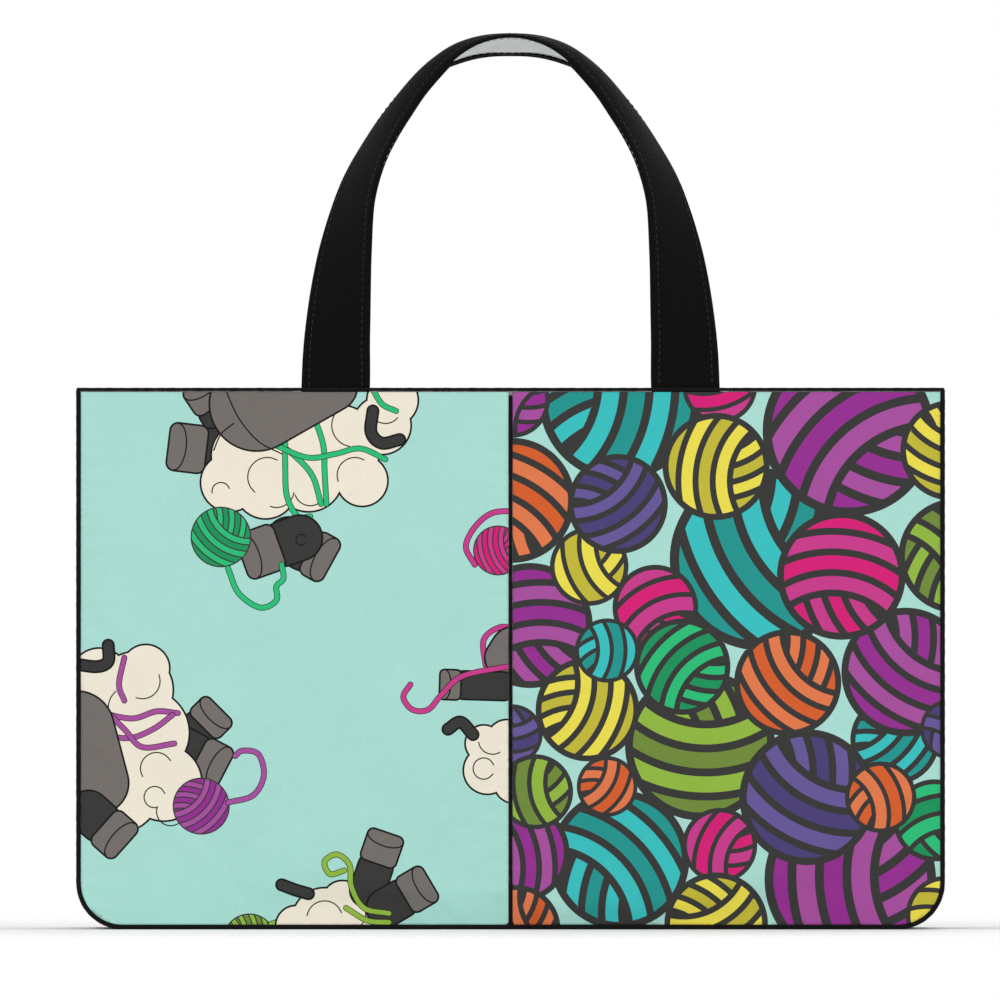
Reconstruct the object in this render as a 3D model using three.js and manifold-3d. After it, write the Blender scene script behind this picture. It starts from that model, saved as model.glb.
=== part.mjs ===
// A gusseted knitting bag in millimetres: +Z up, origin on the floor at the centre of the base.
// Width runs along X and depth along Y. The back wall stands at -Y and the front wall at +Y.
// Each wall is a printed shell panel in two halves, a foam interlining and a lining.
// A gusset joins the walls at the sides and under the base, with piping in every seam.
// Two webbing handles are sewn into the mouth seam and swing about it.
import * as THREE from "three";
import { mergeVertices } from "three/addons/utils/BufferGeometryUtils.js";
import Module from "manifold-3d";

const manifold = await Module();
manifold.setup();

// Driving dimensions of the bag.
const WIDTH = 486;
const DEPTH = 127;
const HEIGHT = 303;
const CORNER_RADIUS = 26;
const GAP = 0.3; // between pieces that are sewn face to face

// Cloth and filling thicknesses.
const SHELL = 1.2;
const FOAM = 3;
const LINING = 0.8;
const BOARD = 3;
const BOARD_CLEARANCE = 2; // between the base board and the curve or seam beside it
const LINING_INSET = SHELL + GAP + FOAM + GAP; // from the outside of the gusset to the lining

// Piping radii.
const EDGE_PIPING = 1.2;
const SEAM_PIPING = 0.9;
const MOUTH_PIPING = 0.9;
const MOUTH_CORNER = 4;
const PANEL_SINK = 0.6; // how far a panel's face lies behind the crown of the edge piping
const SEAM_CROWN = 0.4; // how far the middle seam's piping stands out of the panels

// Levels that follow from them.
const SEWN_TOP = HEIGHT - 2 * MOUTH_PIPING - 2 * GAP; // where shell and lining end, under the mouth piping
const GUSSET_HALF_DEPTH = DEPTH / 2 - 2 * EDGE_PIPING - GAP;
const PANEL_FACE = DEPTH / 2 - PANEL_SINK;
const FOAM_FACE = PANEL_FACE - SHELL - GAP;
const LINING_FACE = FOAM_FACE - FOAM - GAP;

// Handle webbing, its backing tape and how it is sewn in.
const WEBBING_WIDTH = 38;
const WEBBING = 1.8;
const BACKING_WIDTH = 34;
const BACKING = 0.9;
const BACKING_GAP = 0.5; // wider than GAP, because both bands are faceted
const HANDLE_END_LENGTH = 42;
const HANDLE_END_TOP = HEIGHT - 1.5; // just under the fold of the mouth seam
const HANDLE_START = HEIGHT + GAP; // where the free loop begins
const HANDLE_LEAN = 8; // how far the top of the loop leans in over the bag
const FOAM_CLEARANCE = 2; // between the foam and what it stops short of
const FOAM_TOP = HANDLE_END_TOP - HANDLE_END_LENGTH - FOAM_CLEARANCE;
const HANDLE_PLANE = FOAM_FACE - WEBBING / 2; // the webbing's middle where it is sewn in

// Half of the loop from foot to crown: distance from the centre, height above the mouth.
const LOOP = [
  [98, 0],
  [97, 30],
  [92.3, 78],
  [85, 112],
  [71, 141],
  [52, 166],
  [34, 180.5],
  [17, 188.6],
  [0, 191.2],
];
// The webbing stands face on at its feet and turns over on its way to the crown, where it curls.
// Share of the way from foot to crown, turn in degrees, half the curl's angle in degrees.
const TURN = [
  [0, 0, 0],
  [0.1, 15, 0],
  [0.21, 27, 0],
  [0.33, 41, 3],
  [0.45, 56, 8],
  [0.57, 67, 14],
  [0.7, 72, 28],
  [0.8, 79, 46],
  [0.87, 90, 55],
  [0.94, 99, 42],
  [1, 105, 26],
];

// Pocket on the front lining, in three compartments, with a bound top edge.
const POCKET_WIDTH = 300;
const POCKET_HEIGHT = 140;
const POCKET_DEPTH = 8;
const POCKET_CLOTH = 1;
const POCKET_BASE = 105;
const POCKET_COMPARTMENTS = 3;
const BINDING_HEIGHT = 10;

const cloth = (color, roughness = 0.9) => new THREE.MeshStandardMaterial({ color, roughness, metalness: 0 });
const mintPrint = cloth(0xa9dcd2);
const yarnPrint = cloth(0x8b5a8c);
const blackCloth = cloth(0x121213);
const blackWebbing = cloth(0x0b0b0c, 0.8);
const greyCloth = cloth(0xd0d2d3);
const foam = cloth(0xe9e7e0, 1);
const board = cloth(0x8a7f70, 0.7);

const bag = new THREE.Group();

// A closed geometry as a solid for joining.
function solid(geometry) {
  const bare = new THREE.BufferGeometry();
  bare.setAttribute("position", geometry.getAttribute("position"));
  if (geometry.index) bare.setIndex(geometry.index);
  const merged = mergeVertices(bare, 1e-4);
  const vertProperties = merged.attributes.position.array;
  const triVerts = new Uint32Array(merged.index.array);
  return new manifold.Manifold(new manifold.Mesh({ numProp: 3, vertProperties, triVerts }));
}

// Two geometries that touch or overlap, joined into one.
function joined(first, second) {
  const mesh = solid(first).add(solid(second)).getMesh();
  const geometry = new THREE.BufferGeometry();
  geometry.setAttribute("position", new THREE.BufferAttribute(mesh.vertProperties, 3));
  geometry.setIndex(new THREE.BufferAttribute(mesh.triVerts, 1));
  return geometry;
}

function named(name, geometry, material, parent = bag) {
  const mesh = new THREE.Mesh(geometry, material);
  mesh.name = name;
  parent.add(mesh);
  return mesh;
}

// A box between two corners.
function block(low, high) {
  const size = high.map((value, axis) => value - low[axis]);
  const geometry = new THREE.BoxGeometry(...size);
  return geometry.translate(...low.map((value, axis) => value + size[axis] / 2));
}

// A closed skin through rings of points. Joined end to end it needs no caps.
function loft(rings, joined = false) {
  const count = rings[0].length;
  const points = rings.flat();
  const faces = [];
  const spans = joined ? rings.length : rings.length - 1;
  for (let i = 0; i < spans; i++) {
    const here = i * count;
    const next = ((i + 1) % rings.length) * count;
    for (let k = 0; k < count; k++) {
      const l = (k + 1) % count;
      faces.push(here + k, here + l, next + l, here + k, next + l, next + k);
    }
  }
  if (!joined) {
    const last = (rings.length - 1) * count;
    for (let k = 1; k < count - 1; k++) {
      faces.push(0, k + 1, k, last, last + k, last + k + 1);
    }
  }
  const geometry = new THREE.BufferGeometry().setFromPoints(points);
  geometry.setIndex(faces);
  return mergeVertices(geometry, 1e-4);
}

// A round cord along a flat path of points, mitred at each point. up is the normal of the path's plane.
function cord(points, radius, up, joined = false, sides = 8) {
  const last = points.length - 1;
  const rings = points.map((point, i) => {
    const before = joined ? points[(i + last) % points.length] : points[Math.max(i - 1, 0)];
    const after = joined ? points[(i + 1) % points.length] : points[Math.min(i + 1, last)];
    const into = (i === 0 && !joined ? after.clone().sub(point) : point.clone().sub(before)).normalize();
    const out = (i === last && !joined ? into.clone() : after.clone().sub(point)).normalize();
    const along = into.clone().add(out).normalize();
    const side = new THREE.Vector3().crossVectors(up, along).normalize();
    const mitre = 1 / along.dot(into);
    return Array.from({ length: sides }, (_, k) => {
      const angle = ((k + 0.5) / sides) * 2 * Math.PI;
      const reach = radius / Math.cos(Math.PI / sides);
      return point
        .clone()
        .addScaledVector(side, Math.cos(angle) * reach * mitre)
        .addScaledVector(up, Math.sin(angle) * reach);
    });
  });
  return loft(rings, joined);
}

function arc(centreX, centreY, radius, from, to, steps) {
  return Array.from({ length: steps + 1 }, (_, i) => {
    const angle = from + ((to - from) * i) / steps;
    return [centreX + radius * Math.cos(angle), centreY + radius * Math.sin(angle)];
  });
}

// The U that the gusset follows, this far in from the outside: down the left, along the base, up the right.
function uPath(inset, top, steps) {
  const radius = CORNER_RADIUS - inset;
  const centre = WIDTH / 2 - CORNER_RADIUS;
  return [
    [-WIDTH / 2 + inset, top],
    ...arc(-centre, CORNER_RADIUS, radius, Math.PI, 1.5 * Math.PI, steps),
    ...arc(centre, CORNER_RADIUS, radius, 1.5 * Math.PI, 2 * Math.PI, steps),
    [WIDTH / 2 - inset, top],
  ];
}

// A flat outline in X and Z, made as thick as y runs from near to far.
function plate(outline, near, far) {
  const shape = new THREE.Shape(outline.map(([x, z]) => new THREE.Vector2(x, z)));
  const geometry = new THREE.ExtrudeGeometry(shape, { depth: far - near, bevelEnabled: false });
  return geometry.rotateX(Math.PI / 2).translate(0, far, 0);
}

// One half of a wall's panel, with its lower outer corner rounded. side is -1 for left and 1 for right.
function halfPanel(side) {
  const inset = 2 * EDGE_PIPING + GAP;
  const radius = CORNER_RADIUS - inset;
  const seam = SEAM_PIPING + GAP;
  const outline = [
    [seam, SEWN_TOP],
    [seam, inset],
    ...arc(WIDTH / 2 - CORNER_RADIUS, CORNER_RADIUS, radius, -Math.PI / 2, 0, 10),
    [WIDTH / 2 - inset, SEWN_TOP],
  ].map(([x, z]) => [side * x, z]);
  return plate(outline, -PANEL_FACE, -PANEL_FACE + SHELL);
}

// The strip between two insets of the U, below its straight sides.
function baseStrip(inset, thickness, halfDepth) {
  const outer = uPath(inset, CORNER_RADIUS, 8).slice(1, -1);
  const inner = uPath(inset + thickness, CORNER_RADIUS, 8).slice(1, -1).reverse();
  return plate([...outer, ...inner], -halfDepth, halfDepth);
}

// A wall with its outside facing -Y: panel halves, piping, foam, lining and the sewn-in handle ends.
function wall(side) {
  const group = new THREE.Group();
  const up = new THREE.Vector3(0, 1, 0);
  named(`${side}_panel_left`, halfPanel(-1), mintPrint, group);
  named(`${side}_panel_right`, halfPanel(1), yarnPrint, group);

  const seamBase = 2 * EDGE_PIPING + GAP;
  const seamDepth = -PANEL_FACE + SEAM_PIPING - SEAM_CROWN;
  const seam = [
    new THREE.Vector3(0, seamDepth, seamBase),
    new THREE.Vector3(0, seamDepth, SEWN_TOP),
  ];
  named(`${side}_seam_piping`, cord(seam, SEAM_PIPING, up), blackCloth, group);

  const edge = uPath(EDGE_PIPING, SEWN_TOP, 10).map(
    ([x, z]) => new THREE.Vector3(x, -DEPTH / 2 + EDGE_PIPING, z),
  );
  named(`${side}_edge_piping`, cord(edge, EDGE_PIPING, up), blackCloth, group);

  const foamHalf = WIDTH / 2 - CORNER_RADIUS;
  const foamSheet = block([-foamHalf, -FOAM_FACE, CORNER_RADIUS], [foamHalf, -FOAM_FACE + FOAM, FOAM_TOP]);
  named(`${side}_interlining`, foamSheet, foam, group);

  const inset = LINING_INSET + LINING + GAP;
  const lining = uPath(inset, SEWN_TOP, 8);
  named(`${side}_lining`, plate(lining, -LINING_FACE, -LINING_FACE + LINING), greyCloth, group);

  for (const [end, sign] of [["left", -1], ["right", 1]]) {
    const middle = sign * LOOP[0][0];
    const tab = block(
      [middle - WEBBING_WIDTH / 2, -FOAM_FACE, HANDLE_END_TOP - HANDLE_END_LENGTH],
      [middle + WEBBING_WIDTH / 2, -FOAM_FACE + WEBBING, HANDLE_END_TOP],
    );
    named(`${side}_handle_end_${end}`, tab, blackWebbing, group);
  }
  return group;
}

// The value of a TURN column at a share of the way from foot to crown, straight from one entry to the next.
function turnAt(share, column) {
  const next = Math.max(1, TURN.findIndex(([at]) => at >= share - 1e-9));
  const [before, after] = [TURN[next - 1], TURN[next]];
  const t = (share - before[0]) / (after[0] - before[0]);
  return THREE.MathUtils.degToRad(THREE.MathUtils.lerp(before[column], after[column], t));
}

// The loop's middle line from its left foot over the crown to its right foot.
function loopCurve() {
  const crown = LOOP[LOOP.length - 1][1];
  const half = LOOP.map(([x, z]) => {
    const lean = HANDLE_LEAN * (z / crown) ** 2;
    return new THREE.Vector3(-x, -HANDLE_PLANE + lean, HANDLE_START + z);
  });
  const back = half.slice(0, -1).reverse().map((p) => new THREE.Vector3(-p.x, p.y, p.z));
  return new THREE.CatmullRomCurve3([...half, ...back], false, "centripetal");
}

// A band that follows the loop: depth is how far its middle lies behind the webbing's middle.
function band(width, thickness, depth, steps = 72, across = 8) {
  const curve = loopCurve();
  const inward = new THREE.Vector3(0, 1, 0);
  const rings = [];
  for (let i = 0; i <= steps; i++) {
    const at = i / steps;
    const share = 1 - Math.abs(2 * at - 1);
    const foot = i === 0 || i === steps;
    const along = foot ? new THREE.Vector3(0, 0, i === 0 ? 1 : -1) : curve.getTangentAt(at);
    const outward = new THREE.Vector3().crossVectors(along, inward).normalize();
    const through = new THREE.Vector3().crossVectors(outward, along).normalize();
    const turn = turnAt(share, 1);
    const curl = Math.max(turnAt(share, 2), 1e-3);
    const acrossDir = outward.clone().multiplyScalar(Math.cos(turn)).addScaledVector(through, Math.sin(turn));
    const faceDir = outward.clone().multiplyScalar(Math.sin(turn)).addScaledVector(through, -Math.cos(turn));
    const radius = WEBBING_WIDTH / 2 / curl;
    const centre = curve.getPointAt(at).addScaledVector(faceDir, -radius * Math.cos(curl));
    const ring = [];
    for (const [level, from] of [[thickness / 2, 1], [-thickness / 2, -1]]) {
      for (let k = 0; k <= across; k++) {
        const angle = from * (1 - (2 * k) / across) * curl * (width / WEBBING_WIDTH);
        const reach = radius - depth + level;
        ring.push(
          centre
            .clone()
            .addScaledVector(acrossDir, Math.sin(angle) * reach)
            .addScaledVector(faceDir, Math.cos(angle) * reach),
        );
      }
    }
    rings.push(ring);
  }
  return loft(rings);
}

// A handle over the back wall: black webbing with a backing tape sewn to its inner face.
function handle(side) {
  const group = new THREE.Group();
  named(`${side}_handle_webbing`, band(WEBBING_WIDTH, WEBBING, 0), blackWebbing, group);
  const depth = WEBBING / 2 + BACKING_GAP + BACKING / 2;
  named(`${side}_handle_backing`, band(BACKING_WIDTH, BACKING, depth), greyCloth, group);
  return group;
}

// Side and base strips of the gusset with their foam, base board and lining.
function gusset() {
  named("gusset_bottom", baseStrip(0, SHELL, GUSSET_HALF_DEPTH), blackCloth);
  const boardHalf = WIDTH / 2 - CORNER_RADIUS - BOARD_CLEARANCE;
  const boardBase = SHELL + GAP;
  const boardLow = [-boardHalf, -GUSSET_HALF_DEPTH + BOARD_CLEARANCE, boardBase];
  const boardHigh = [boardHalf, GUSSET_HALF_DEPTH - BOARD_CLEARANCE, boardBase + BOARD];
  named("base_board", block(boardLow, boardHigh), board);

  named("lining_bottom", baseStrip(LINING_INSET, LINING, LINING_FACE), greyCloth);

  const sideBase = CORNER_RADIUS + GAP;
  for (const [end, sign] of [["left", -1], ["right", 1]]) {
    const strip = (inset, thickness, halfDepth, top) => {
      const [a, b] = [sign * (WIDTH / 2 - inset), sign * (WIDTH / 2 - inset - thickness)];
      return block([Math.min(a, b), -halfDepth, sideBase], [Math.max(a, b), halfDepth, top]);
    };
    named(`gusset_${end}`, strip(0, SHELL, GUSSET_HALF_DEPTH, SEWN_TOP), blackCloth);
    named(`interlining_${end}`, strip(SHELL + GAP, FOAM, LINING_FACE, FOAM_TOP), foam);
    named(`lining_${end}`, strip(LINING_INSET, LINING, LINING_FACE, SEWN_TOP), greyCloth);
  }
}

// The piping round the mouth, in front of the handle ends.
function mouthPiping() {
  const halfX = WIDTH / 2 - MOUTH_PIPING - MOUTH_CORNER;
  const halfY = DEPTH / 2 - MOUTH_PIPING - MOUTH_CORNER;
  const corners = [
    [halfX, halfY, 0],
    [-halfX, halfY, Math.PI / 2],
    [-halfX, -halfY, Math.PI],
    [halfX, -halfY, 1.5 * Math.PI],
  ];
  const path = corners.flatMap(([x, y, start]) => arc(x, y, MOUTH_CORNER, start, start + Math.PI / 2, 5));
  const points = path.map(([x, y]) => new THREE.Vector3(x, y, HEIGHT - MOUTH_PIPING));
  named("mouth_piping", cord(points, MOUTH_PIPING, new THREE.Vector3(0, 0, 1), true), blackCloth);
}

// A patch pocket on the front lining, its back the lining itself, with a bound top edge.
function pocket() {
  const back = LINING_FACE - LINING - GAP;
  const face = back - POCKET_DEPTH;
  const half = POCKET_WIDTH / 2;
  const top = POCKET_BASE + POCKET_HEIGHT;
  const cell = (POCKET_WIDTH - POCKET_CLOTH) / POCKET_COMPARTMENTS;
  // Its plan is a comb: a front sheet with a return at each side and between compartments.
  const plan = [[-half, face], [half, face]];
  for (let i = POCKET_COMPARTMENTS; i >= 0; i--) {
    const x = -half + i * cell;
    const inner = face + POCKET_CLOTH;
    if (i < POCKET_COMPARTMENTS) plan.push([x + POCKET_CLOTH, inner]);
    plan.push([x + POCKET_CLOTH, back], [x, back]);
    if (i > 0) plan.push([x, inner]);
  }
  const shape = new THREE.Shape(plan.map(([x, y]) => new THREE.Vector2(x, y)));
  const rise = POCKET_HEIGHT - POCKET_CLOTH;
  const walls = new THREE.ExtrudeGeometry(shape, { depth: rise, bevelEnabled: false });
  walls.translate(0, 0, POCKET_BASE + POCKET_CLOTH);
  const floor = block([-half, face, POCKET_BASE], [half, back, POCKET_BASE + POCKET_CLOTH]);
  named("inner_pocket", joined(walls, floor), greyCloth);

  const strip = block([-half, face - GAP - LINING, top - BINDING_HEIGHT], [half, face - GAP, top]);
  named("pocket_binding", strip, blackCloth);
}

gusset();
const backWall = wall("back");
const frontWall = wall("front");
frontWall.rotation.z = Math.PI;
const backHandle = handle("back");
const frontHandle = handle("front");
frontHandle.rotation.z = Math.PI;
bag.add(backWall, frontWall, backHandle, frontHandle);
mouthPiping();
pocket();

export default bag;
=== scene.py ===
"""A gusseted knitting bag: printed walls, piping, gusset, lining, needle pocket and two webbing handles.
The back wall faces -Y. Every cloth piece is a sheet that follows its CAD solid and is softened from there.
The prints are real faces, cut along every edge of the drawing and coloured one by one."""

import math

import bpy
import numpy as np
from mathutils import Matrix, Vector
from mathutils.geometry import delaunay_2d_cdt


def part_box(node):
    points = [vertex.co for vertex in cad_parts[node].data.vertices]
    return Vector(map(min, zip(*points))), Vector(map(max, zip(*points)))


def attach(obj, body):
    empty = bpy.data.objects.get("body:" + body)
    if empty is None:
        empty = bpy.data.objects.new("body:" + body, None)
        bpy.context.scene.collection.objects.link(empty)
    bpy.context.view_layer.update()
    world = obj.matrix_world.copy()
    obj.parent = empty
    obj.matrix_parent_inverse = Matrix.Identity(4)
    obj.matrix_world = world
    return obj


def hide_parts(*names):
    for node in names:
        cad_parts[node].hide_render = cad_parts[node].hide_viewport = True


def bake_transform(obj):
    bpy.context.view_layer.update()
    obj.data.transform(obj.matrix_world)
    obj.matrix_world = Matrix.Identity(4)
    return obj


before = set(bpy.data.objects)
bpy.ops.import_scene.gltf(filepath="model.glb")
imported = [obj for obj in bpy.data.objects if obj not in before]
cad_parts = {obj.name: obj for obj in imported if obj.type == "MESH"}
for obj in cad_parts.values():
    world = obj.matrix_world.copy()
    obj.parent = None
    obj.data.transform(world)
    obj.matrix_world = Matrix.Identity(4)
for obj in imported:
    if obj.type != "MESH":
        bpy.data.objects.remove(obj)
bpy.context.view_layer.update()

MM = 0.001

# Places taken from the CAD nodes.
panel_low, panel_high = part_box("back_panel_left")
edge_low, edge_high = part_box("back_edge_piping")
mouth_low, mouth_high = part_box("mouth_piping")
seam_low, seam_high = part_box("back_seam_piping")
lining_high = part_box("lining_left")[1]
pocket_low, pocket_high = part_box("inner_pocket")
end_low, end_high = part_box("back_handle_end_left")
HALF_WIDTH = mouth_high.x
HALF_DEPTH = mouth_high.y
SEWN_TOP = panel_high.z
PANEL_FACE = -panel_low.y
PANEL_SIDE = -panel_low.x
PANEL_BASE = panel_low.z
PANEL_SEAM = -panel_high.x
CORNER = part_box("back_interlining")[0].z  # radius of the rounded lower corners
EDGE_RADIUS = (edge_high.y - edge_low.y) / 2
LINING_FACE = -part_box("back_lining")[1].y
LINING_SIDE = -lining_high.x
LINING_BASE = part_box("lining_bottom")[0].z + 0.8 * MM
HANDLE_PLANE = -(end_low.y + end_high.y) / 2
HANDLE_X = -(end_low.x + end_high.x) / 2
WEBBING = end_high.y - end_low.y
WEBBING_WIDTH = end_high.x - end_low.x

# Cloth thicknesses. The prints are thin enough to clear the sewn ends of the handles behind them.
PRINT_CLOTH = 0.7 * MM
GUSSET_CLOTH = 1.1 * MM
LINING_CLOTH = 0.7 * MM
POCKET_CLOTH = 0.8 * MM
BINDING_CLOTH = 0.35 * MM

# How soft the bag is.
WALL_BULGE = 4.5 * MM
SIDE_FOLD = 15 * MM
PUCKER = 0.32 * MM
PUCKER_PITCH = 10 * MM
PUCKER_REACH = 6 * MM
GRID = 6 * MM  # of the simulated wall
SIMULATED_FRAMES = 30
MOUTH_TURN = 9 * MM  # height in which the lining closes up to the mouth

# The lining's weave follows height down to this ring, then goes on by a fixed step over the flat base.
LAST_RING_BY_HEIGHT = 121
BASE_RING_STEP = 4 * MM

rng = np.random.default_rng(11)


def ease(t):
    t = np.clip(t, 0, 1)
    return t * t * (3 - 2 * t)


def unit(vectors):
    return vectors / np.linalg.norm(vectors, axis=1)[:, None]


def run_along(path):
    """The distance along a path at each of its points."""
    return np.concatenate([[0], np.cumsum(np.linalg.norm(np.diff(path, axis=0), axis=1))])


# ---------------------------------------------------------------- camera, floor and light


def make_camera():
    view_width = 0.5593
    lens, sensor = 1500.0, 36.0
    data = bpy.data.cameras.new("camera")
    data.lens = lens
    data.sensor_width = sensor
    data.clip_start, data.clip_end = 0.1, 200.0
    camera = bpy.data.objects.new("camera", data)
    bpy.context.scene.collection.objects.link(camera)
    away = view_width * lens / sensor
    camera.location = (-5.9 * MM, -PANEL_FACE - away, 240.2 * MM)
    camera.rotation_euler = (math.radians(90), 0, 0)
    bpy.context.scene.camera = camera


def make_light(name, place, target, size, power):
    data = bpy.data.lights.new(name, "AREA")
    data.shape = "DISK"
    data.size = size
    data.energy = power
    light = bpy.data.objects.new(name, data)
    light.location = place
    light.rotation_euler = (Vector(target) - Vector(place)).to_track_quat("-Z", "Y").to_euler()
    light.visible_camera = False
    bpy.context.scene.collection.objects.link(light)


def make_stage():
    """A pale floor that fades into the white surroundings, and soft light from above and in front."""
    scene = bpy.context.scene
    scene.view_settings.view_transform = "Standard"
    world = bpy.data.worlds.new("surroundings")
    world.use_nodes = True
    sky = world.node_tree.nodes["Background"]
    sky.inputs["Color"].default_value = (1, 1, 1, 1)
    rays = world.node_tree.nodes.new("ShaderNodeLightPath")
    strength = world.node_tree.nodes.new("ShaderNodeMapRange")
    strength.inputs["To Min"].default_value = 0.8
    strength.inputs["To Max"].default_value = 1.0
    world.node_tree.links.new(rays.outputs["Is Camera Ray"], strength.inputs["Value"])
    world.node_tree.links.new(strength.outputs["Result"], sky.inputs["Strength"])
    scene.world = world

    bpy.ops.mesh.primitive_circle_add(vertices=96, radius=4.0, fill_type="NGON", location=(0, 0, 0))
    floor = bpy.context.object
    floor.name = "floor"
    material = bpy.data.materials.new("floor")
    material.use_nodes = True
    tree = material.node_tree
    shader = tree.nodes["Principled BSDF"]
    shader.inputs["Base Color"].default_value = (0.97, 0.97, 0.968, 1)
    shader.inputs["Roughness"].default_value = 0.9
    place = tree.nodes.new("ShaderNodeTexCoord")
    distance = tree.nodes.new("ShaderNodeVectorMath")
    distance.operation = "LENGTH"
    fade = tree.nodes.new("ShaderNodeMapRange")
    fade.interpolation_type = "SMOOTHERSTEP"
    fade.inputs["From Min"].default_value = 0.2
    fade.inputs["From Max"].default_value = 0.9
    clear = tree.nodes.new("ShaderNodeBsdfTransparent")
    mix = tree.nodes.new("ShaderNodeMixShader")
    tree.links.new(place.outputs["Object"], distance.inputs[0])
    tree.links.new(distance.outputs["Value"], fade.inputs["Value"])
    tree.links.new(fade.outputs["Result"], mix.inputs["Fac"])
    tree.links.new(shader.outputs["BSDF"], mix.inputs[1])
    tree.links.new(clear.outputs["BSDF"], mix.inputs[2])
    tree.links.new(mix.outputs["Shader"], tree.nodes["Material Output"].inputs["Surface"])
    floor.data.materials.append(material)

    target = (0, 0, 0.2)
    make_light("key", (-1.4, -2.2, 2.0), target, 1.6, 20)
    make_light("fill", (1.8, -1.6, 1.0), target, 1.8, 8)
    make_light("behind", (0.6, 2.2, 1.8), target, 1.6, 12)


# ---------------------------------------------------------------- materials


def linear(code):
    """An sRGB colour such as a9dcd2 as linear numbers."""
    values = [int(code[i : i + 2], 16) / 255 for i in (0, 2, 4)]
    return [v / 12.92 if v <= 0.04045 else ((v + 0.055) / 1.055) ** 2.4 for v in values] + [1.0]


def new_material(name, roughness, sheen=0.0, gloss=0.25):
    material = bpy.data.materials.new(name)
    material.use_nodes = True
    shader = material.node_tree.nodes["Principled BSDF"]
    shader.inputs["Roughness"].default_value = roughness
    shader.inputs["Specular IOR Level"].default_value = gloss
    shader.inputs["Sheen Weight"].default_value = sheen
    shader.inputs["Sheen Roughness"].default_value = 0.5
    return material, material.node_tree, shader


def math_node(tree, operation, first, second=None):
    node = tree.nodes.new("ShaderNodeMath")
    node.operation = operation
    for socket, value in zip(node.inputs, (first, second)):
        if hasattr(value, "is_output"):
            tree.links.new(value, socket)
        elif value is not None:
            socket.default_value = value
    return node.outputs[0]


def zero_to_one(tree, wave):
    """A wave from -1 to 1, moved to run from 0 to 1."""
    lifted = math_node(tree, "MULTIPLY_ADD", wave, 0.5)
    lifted.node.inputs[2].default_value = 0.5
    return lifted


def flat_place(tree):
    """The flat place on the cloth in metres, along X and Y of the result."""
    node = tree.nodes.new("ShaderNodeAttribute")
    node.attribute_name = "cloth"
    return node.outputs["Vector"]


def noise_at(tree, place, scale, detail=3.0):
    node = tree.nodes.new("ShaderNodeTexNoise")
    node.inputs["Scale"].default_value = scale
    node.inputs["Detail"].default_value = detail
    tree.links.new(place, node.inputs["Vector"])
    return node.outputs["Fac"]


def weave_height(tree, place, pitch):
    """A plain weave: threads that go over and under each other, pitch apart."""
    split = tree.nodes.new("ShaderNodeSeparateXYZ")
    tree.links.new(place, split.inputs[0])
    waves = [
        math_node(tree, "SINE", math_node(tree, "MULTIPLY", split.outputs[axis], 2 * math.pi / pitch))
        for axis in (0, 1)
    ]
    return math_node(tree, "MULTIPLY", waves[0], waves[1])


def rib_height(tree, place, pitch, slant):
    """Webbing: ribs along its length, crossed by a twill line that turns at the middle."""
    split = tree.nodes.new("ShaderNodeSeparateXYZ")
    tree.links.new(place, split.inputs[0])
    across = math_node(tree, "ABSOLUTE", split.outputs[1])
    lean = math_node(tree, "MULTIPLY", across, slant)
    along = math_node(tree, "ADD", split.outputs[0], lean)
    twill = math_node(tree, "SINE", math_node(tree, "MULTIPLY", along, 2 * math.pi / pitch))
    ribs = math_node(tree, "SINE", math_node(tree, "MULTIPLY", split.outputs[1], 2 * math.pi / pitch))
    return math_node(tree, "ADD", twill, math_node(tree, "MULTIPLY", ribs, 0.6))


def add_bump(tree, shader, height, distance, strength=1.0):
    bump = tree.nodes.new("ShaderNodeBump")
    bump.inputs["Distance"].default_value = distance
    bump.inputs["Strength"].default_value = strength
    tree.links.new(height, bump.inputs["Height"])
    tree.links.new(bump.outputs["Normal"], shader.inputs["Normal"])


def shaded(tree, colour, factor, low, high):
    """colour, a socket or numbers, times a brightness from low to high as factor goes from 0 to 1."""
    spread = tree.nodes.new("ShaderNodeMapRange")
    spread.inputs["To Min"].default_value = low
    spread.inputs["To Max"].default_value = high
    tree.links.new(factor, spread.inputs["Value"])
    scale = tree.nodes.new("ShaderNodeVectorMath")
    scale.operation = "SCALE"
    if hasattr(colour, "is_output"):
        tree.links.new(colour, scale.inputs[0])
    else:
        scale.inputs[0].default_value = colour[:3]
    tree.links.new(spread.outputs["Result"], scale.inputs["Scale"])
    return scale.outputs["Vector"]


def print_material():
    """Printed canvas: the print's own colours, a fine weave that shows through in the bump and as painted
    shade, lighter on the raised threads and darker in the hollows between them, and a little wear.
    """
    material, tree, shader = new_material("printed_canvas", 0.82, 0.05)
    ink = tree.nodes.new("ShaderNodeAttribute")
    ink.attribute_name = "print"
    place = flat_place(tree)
    weave = weave_height(tree, place, 0.9 * MM)
    # Painted shade: the print is darkened where the weave is low, in the hollows between threads, and
    # lightened on the raised threads.
    painted_weave_shade = shaded(tree, ink.outputs["Color"], zero_to_one(tree, weave), 0.955, 1.03)
    patchy = shaded(tree, painted_weave_shade, noise_at(tree, place, 26.0, 4.0), 0.955, 1.045)
    tree.links.new(patchy, shader.inputs["Base Color"])
    add_bump(tree, shader, weave, 0.05 * MM)
    return material


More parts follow.
